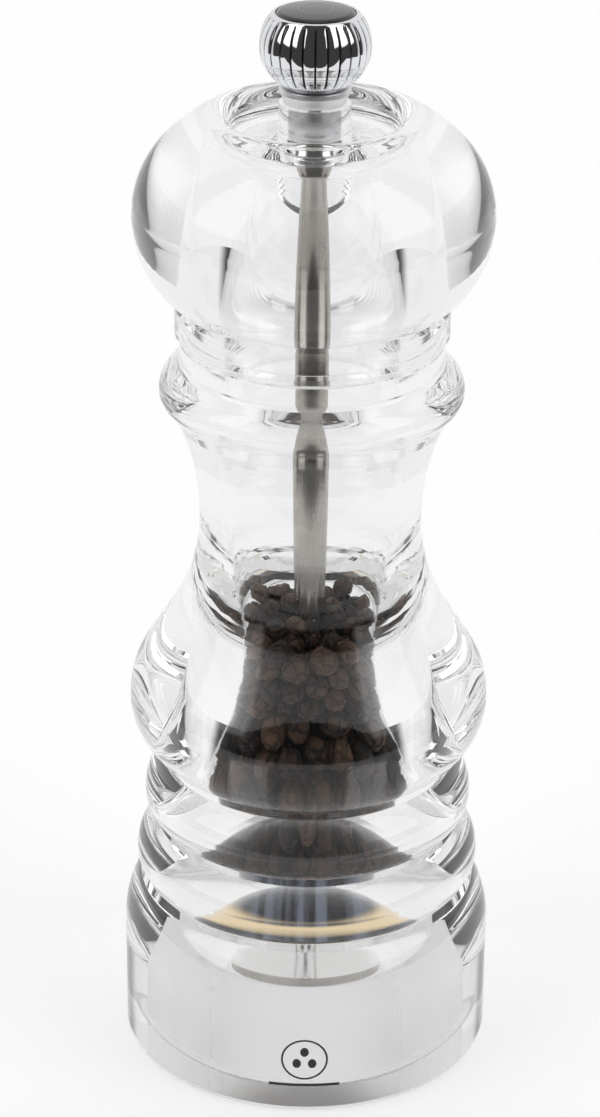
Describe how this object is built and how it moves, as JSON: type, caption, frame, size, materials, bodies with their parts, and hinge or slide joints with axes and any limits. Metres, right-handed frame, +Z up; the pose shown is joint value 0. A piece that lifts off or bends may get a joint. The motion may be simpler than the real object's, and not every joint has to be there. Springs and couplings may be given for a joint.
{
  "type": "pepper mill",
  "caption": "Clear acrylic pepper mill: turned body and head on a steel drive shaft, toothed steel grinders in the base and a fluted knob that sets the grind.",
  "frame": {"origin": "centre of the foot, on the surface the mill stands on", "axes": "+Z up along the mill's axis to the knob; -Y faces the front, where the small mark is printed"},
  "size_m": [0.062, 0.062, 0.18],
  "materials": {
    "acrylic": "clear polished acrylic",
    "steel": "satin stainless steel",
    "dark_steel": "dark hardened steel",
    "chrome": "polished chrome",
    "satin": "satin silver",
    "brass": "plain brass",
    "black": "gloss black",
    "pepper": "dark wrinkled dry peppercorns"
  },
  "bodies": {
    "body_unit": {"body": "acrylic", "housing": "dark_steel", "bridge": "dark_steel", "bridge_bush": "brass", "grinding_ring": "steel", "bottom_plate": "steel", "plate_screws": "steel", "peppercorns": "pepper"},
    "head_unit": {"head": "acrylic", "drive_bush": "steel", "collar": "satin"},
    "spindle": {"shaft": "steel", "grinder": "dark_steel", "spring_seat": "steel", "spring": "steel", "thrust_washer": "steel", "shaft_nut": "steel"},
    "knob_unit": {"knob": "chrome", "knob_insert": "brass", "knob_cap": "black"}
  },
  "joints": [
    {"name": "head_turn", "type": "hinge", "parent": "body_unit", "child": "head_unit", "pos_m": [0, 0, 0.1265], "axis": [0, 0, 1], "range_deg": [-180, 180]},
    {"name": "knob_turn", "type": "hinge", "parent": "head_unit", "child": "knob_unit", "pos_m": [0, 0, 0.1743], "axis": [0, 0, 1], "range_deg": [-360, 360]},
    {"name": "grind_adjust", "type": "slide", "parent": "head_unit", "child": "spindle", "axis": [0, 0, 1], "range_m": [-0.0007, 0.0007], "deforming": ["spring"]}
  ],
  "couplings": [
    {"joint": "knob_turn", "follows": "grind_adjust", "rad_per_m": -8976}
  ]
}
